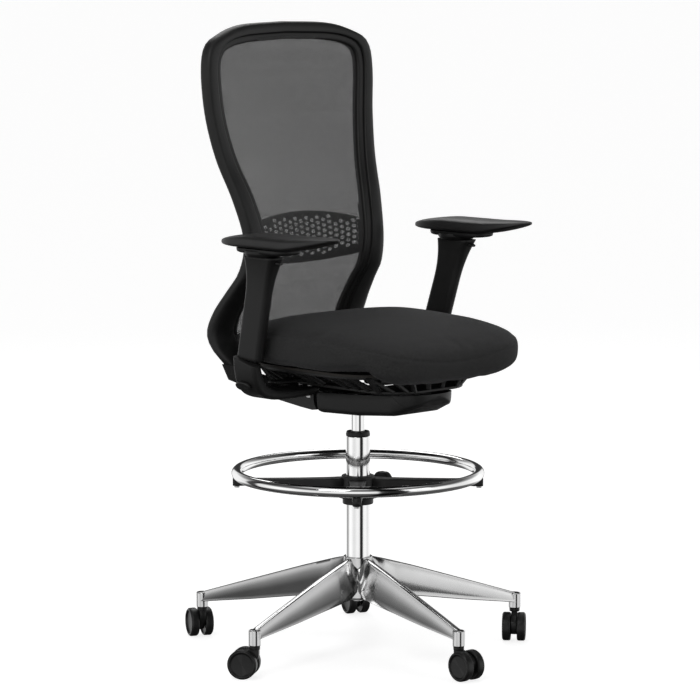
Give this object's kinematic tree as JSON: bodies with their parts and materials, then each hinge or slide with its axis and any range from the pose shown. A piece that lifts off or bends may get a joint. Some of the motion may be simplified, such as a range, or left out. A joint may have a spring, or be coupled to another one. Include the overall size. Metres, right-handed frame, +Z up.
{
  "type": "drafting chair",
  "caption": "Tall swivel drafting chair with mesh back, padded seat, height-adjustable arms, chrome foot ring and a polished castor base.",
  "frame": {"origin": "on the floor, under the axis of the column", "axes": "+Z up, the sitter faces -Y, +X is the sitter's left"},
  "size_m": [0.7186, 0.7592, 1.2941],
  "materials": {
    "polished_aluminium": "polished die casting",
    "chrome": "bright chrome plate",
    "steel": "ground steel",
    "black_plastic": "fine moulded grain",
    "castor_plastic": "satin moulded nylon",
    "black_steel": "black powder coat",
    "pad_foam": "skinned soft foam",
    "seat_fabric": "charcoal woven cloth",
    "board_wood": "moulded plywood",
    "back_net": "open knitted mesh"
  },
  "bodies": {
    "base": {"base_casting": "polished_aluminium", "column_tube": "chrome", "column_bushing": "black_plastic", "rod_bearing": "steel"},
    "footring_slider": {"footring_liner": "black_plastic"},
    "footring": {"footring_tube": "chrome", "footring_spider": "black_plastic", "footring_screws": "steel"},
    "clamp_knob": {"clamp_pad": "black_plastic", "clamp_knob": "black_plastic"},
    "gas_rod": {"piston_rod": "steel"},
    "chassis": {"pressure_tube": "chrome", "mechanism_housing": "black_steel", "mechanism_cover": "black_plastic", "mechanism_nose": "black_plastic", "tilt_springs": "steel", "pivot_shafts": "steel"},
    "release_pin": {"release_pin": "steel"},
    "seat": {"seat_pan": "black_plastic", "cushion_board": "board_wood", "seat_cushion": "seat_fabric", "arm_bracket_left": "black_plastic", "arm_bracket_right": "black_plastic", "arm_bolts": "steel"},
    "height_lever": {"height_lever": "black_plastic"},
    "tilt_lever": {"tilt_lever": "black_plastic"},
    "back": {"back_carrier": "black_plastic", "back_frame": "black_plastic", "mesh_ring": "black_plastic", "back_mesh": "back_net", "lumbar_rails": "black_plastic"},
    "lumbar": {"lumbar_panel": "black_plastic"},
    "castor_1": {"castor_1_fork": "castor_plastic", "castor_1_pins": "steel"},
    "castor_1_wheel_a": {"castor_1_wheel_a": "castor_plastic"},
    "castor_1_wheel_b": {"castor_1_wheel_b": "castor_plastic"},
    "castor_2": {"castor_2_fork": "castor_plastic", "castor_2_pins": "steel"},
    "castor_2_wheel_a": {"castor_2_wheel_a": "castor_plastic"},
    "castor_2_wheel_b": {"castor_2_wheel_b": "castor_plastic"},
    "castor_3": {"castor_3_fork": "castor_plastic", "castor_3_pins": "steel"},
    "castor_3_wheel_a": {"castor_3_wheel_a": "castor_plastic"},
    "castor_3_wheel_b": {"castor_3_wheel_b": "castor_plastic"},
    "castor_4": {"castor_4_fork": "castor_plastic", "castor_4_pins": "steel"},
    "castor_4_wheel_a": {"castor_4_wheel_a": "castor_plastic"},
    "castor_4_wheel_b": {"castor_4_wheel_b": "castor_plastic"},
    "castor_5": {"castor_5_fork": "castor_plastic", "castor_5_pins": "steel"},
    "castor_5_wheel_a": {"castor_5_wheel_a": "castor_plastic"},
    "castor_5_wheel_b": {"castor_5_wheel_b": "castor_plastic"},
    "arm_sleeve_left": {"arm_sleeve_left": "black_plastic"},
    "arm_trigger_left": {"arm_trigger_left": "black_plastic"},
    "arm_plate_left": {"arm_plate_left": "black_plastic"},
    "arm_pad_left": {"arm_pad_left": "pad_foam"},
    "arm_sleeve_right": {"arm_sleeve_right": "black_plastic"},
    "arm_trigger_right": {"arm_trigger_right": "black_plastic"},
    "arm_plate_right": {"arm_plate_right": "black_plastic"},
    "arm_pad_right": {"arm_pad_right": "pad_foam"}
  },
  "joints": [
    {"name": "castor_1_swivel", "type": "hinge", "parent": "base", "child": "castor_1", "pos_m": [0.24466, 0.24466, 0.06], "axis": [0, 0, 1], "continuous": true},
    {"name": "castor_1_roll_a", "type": "hinge", "parent": "castor_1", "child": "castor_1_wheel_a", "pos_m": [0.2529, 0.26506, 0.03], "axis": [-0.9272, 0.3746, 0], "continuous": true},
    {"name": "castor_1_roll_b", "type": "hinge", "parent": "castor_1", "child": "castor_1_wheel_b", "pos_m": [0.2529, 0.26506, 0.03], "axis": [-0.9272, 0.3746, 0], "continuous": true},
    {"name": "castor_2_swivel", "type": "hinge", "parent": "base", "child": "castor_2", "pos_m": [-0.15708, 0.30829, 0.06], "axis": [0, 0, 1], "continuous": true},
    {"name": "castor_2_roll_a", "type": "hinge", "parent": "castor_2", "child": "castor_2_wheel_a", "pos_m": [-0.14744, 0.32806, 0.03], "axis": [-0.8988, 0.4384, 0], "continuous": true},
    {"name": "castor_2_roll_b", "type": "hinge", "parent": "castor_2", "child": "castor_2_wheel_b", "pos_m": [-0.14744, 0.32806, 0.03], "axis": [-0.8988, 0.4384, 0], "continuous": true},
    {"name": "castor_3_swivel", "type": "hinge", "parent": "base", "child": "castor_3", "pos_m": [-0.34174, -0.05413, 0.06], "axis": [0, 0, 1], "continuous": true},
    {"name": "castor_3_roll_a", "type": "hinge", "parent": "castor_3", "child": "castor_3_wheel_a", "pos_m": [-0.35404, -0.03589, 0.03], "axis": [-0.829, -0.5592, 0], "continuous": true},
    {"name": "castor_3_roll_b", "type": "hinge", "parent": "castor_3", "child": "castor_3_wheel_b", "pos_m": [-0.35404, -0.03589, 0.03], "axis": [-0.829, -0.5592, 0], "continuous": true},
    {"name": "castor_4_swivel", "type": "hinge", "parent": "base", "child": "castor_4", "pos_m": [-0.05413, -0.34174, 0.06], "axis": [0, 0, 1], "continuous": true},
    {"name": "castor_4_roll_a", "type": "hinge", "parent": "castor_4", "child": "castor_4_wheel_a", "pos_m": [-0.05489, -0.36373, 0.03], "axis": [0.9994, -0.0349, 0], "continuous": true},
    {"name": "castor_4_roll_b", "type": "hinge", "parent": "castor_4", "child": "castor_4_wheel_b", "pos_m": [-0.05489, -0.36373, 0.03], "axis": [0.9994, -0.0349, 0], "continuous": true},
    {"name": "castor_5_swivel", "type": "hinge", "parent": "base", "child": "castor_5", "pos_m": [0.30829, -0.15708, 0.06], "axis": [0, 0, 1], "continuous": true},
    {"name": "castor_5_roll_a", "type": "hinge", "parent": "castor_5", "child": "castor_5_wheel_a", "pos_m": [0.29143, -0.17122, 0.03], "axis": [0.6428, -0.766, 0], "continuous": true},
    {"name": "castor_5_roll_b", "type": "hinge", "parent": "castor_5", "child": "castor_5_wheel_b", "pos_m": [0.29143, -0.17122, 0.03], "axis": [0.6428, -0.766, 0], "continuous": true},
    {"name": "footring_height", "type": "slide", "parent": "base", "child": "footring_slider", "axis": [0, 0, 1], "range_m": [-0.105, 0.08]},
    {"name": "footring_turn", "type": "hinge", "parent": "footring_slider", "child": "footring", "pos_m": [0, 0, 0.338], "axis": [0, 0, 1], "continuous": true},
    {"name": "clamp_turn", "type": "hinge", "parent": "footring", "child": "clamp_knob", "pos_m": [0.07, 0, 0.338], "axis": [1, 0, 0], "range_deg": [0, 360]},
    {"name": "seat_swivel", "type": "hinge", "parent": "base", "child": "gas_rod", "pos_m": [0, 0, 0.11], "axis": [0, 0, 1], "continuous": true},
    {"name": "seat_height", "type": "slide", "parent": "gas_rod", "child": "chassis", "axis": [0, 0, 1], "range_m": [0, 0.2]},
    {"name": "release_press", "type": "slide", "parent": "chassis", "child": "release_pin", "axis": [0, 0, 1], "range_m": [-0.003, 0]},
    {"name": "recline", "type": "hinge", "parent": "chassis", "child": "back", "pos_m": [0, 0.015, 0.53], "axis": [-1, 0, 0], "range_deg": [0, 18], "stiffness_Nm_per_rad": 150, "springref_deg": -20.05},
    {"name": "seat_tilt", "type": "hinge", "parent": "chassis", "child": "seat", "pos_m": [0, -0.15, 0.545], "axis": [-1, 0, 0], "range_deg": [0, 6.5]},
    {"name": "height_lever_lift", "type": "hinge", "parent": "seat", "child": "height_lever", "pos_m": [-0.118, 0.043, 0.574], "axis": [0, 1, 0], "range_deg": [0, 6], "stiffness_Nm_per_rad": 3, "springref_deg": -8.59},
    {"name": "tilt_lever_lift", "type": "hinge", "parent": "seat", "child": "tilt_lever", "pos_m": [0.118, 0.043, 0.574], "axis": [0, -1, 0], "range_deg": [0, 10]},
    {"name": "lumbar_height", "type": "slide", "parent": "back", "child": "lumbar", "axis": [0, 0, 1], "range_m": [-0.008, 0.008]},
    {"name": "arm_height_left", "type": "slide", "parent": "seat", "child": "arm_sleeve_left", "axis": [0.0674, -0.2582, 0.9637], "range_m": [0, 0.08]},
    {"name": "arm_trigger_press_left", "type": "slide", "parent": "arm_sleeve_left", "child": "arm_trigger_left", "axis": [0, 0, 1], "range_m": [0, 0.003], "stiffness_N_per_m": 500, "springref_m": -0.003},
    {"name": "arm_pad_turn_left", "type": "hinge", "parent": "arm_sleeve_left", "child": "arm_plate_left", "pos_m": [0.2768, -0.01453, 0.845], "axis": [0, 0, 1], "range_deg": [-15, 15]},
    {"name": "arm_pad_slide_left", "type": "slide", "parent": "arm_plate_left", "child": "arm_pad_left", "axis": [0, 1, 0], "range_m": [-0.02, 0.02]},
    {"name": "arm_height_right", "type": "slide", "parent": "seat", "child": "arm_sleeve_right", "axis": [-0.0674, -0.2582, 0.9637], "range_m": [0, 0.08]},
    {"name": "arm_trigger_press_right", "type": "slide", "parent": "arm_sleeve_right", "child": "arm_trigger_right", "axis": [0, 0, 1], "range_m": [0, 0.003], "stiffness_N_per_m": 500, "springref_m": -0.003},
    {"name": "arm_pad_turn_right", "type": "hinge", "parent": "arm_sleeve_right", "child": "arm_plate_right", "pos_m": [-0.2768, -0.01453, 0.845], "axis": [0, 0, 1], "range_deg": [-15, 15]},
    {"name": "arm_pad_slide_right", "type": "slide", "parent": "arm_plate_right", "child": "arm_pad_right", "axis": [0, 1, 0], "range_m": [-0.02, 0.02]}
  ],
  "couplings": [
    {"joint": "seat_tilt", "follows": "recline", "ratio": 0.35}
  ]
}
